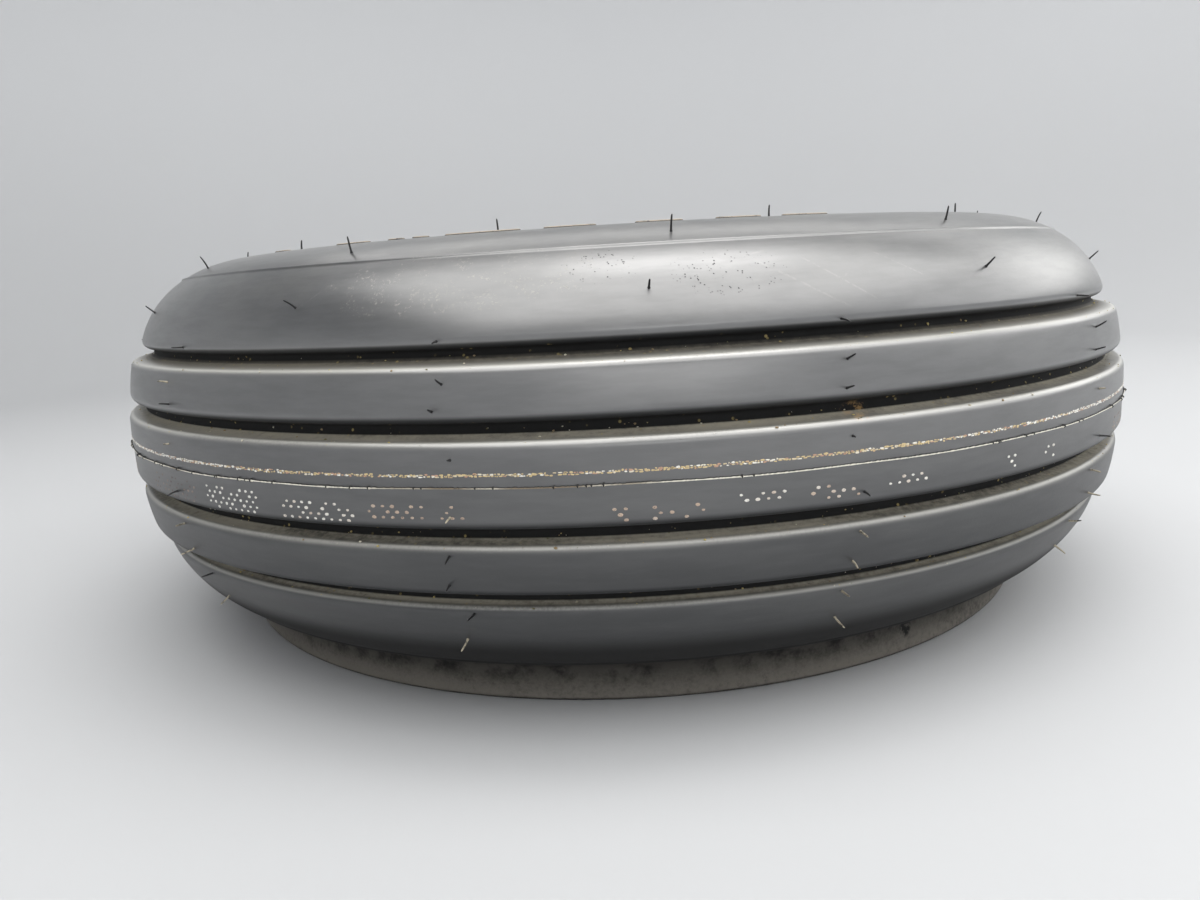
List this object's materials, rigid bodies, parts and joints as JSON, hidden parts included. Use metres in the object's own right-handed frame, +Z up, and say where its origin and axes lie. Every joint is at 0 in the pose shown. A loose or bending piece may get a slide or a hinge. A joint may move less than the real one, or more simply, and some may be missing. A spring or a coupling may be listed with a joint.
{
  "type": "aircraft tire",
  "caption": "Rubber aircraft tire with a grooved tread, broad smooth shoulders, a water deflector lip under the lower shoulder and bead seats for a divided wheel.",
  "frame": {"origin": "centre of the circle that the tire stands on, at floor height", "axes": "+Z up along the tire's own axis; the tire lies on its side, deflector lip down; every direction round the axis is alike"},
  "size_m": [0.4444, 0.4444, 0.1528],
  "materials": {
    "tire": "satin black rubber, dusty in the grooves"
  },
  "bodies": {
    "root": {"tire": "tire"}
  },
  "joints": []
}
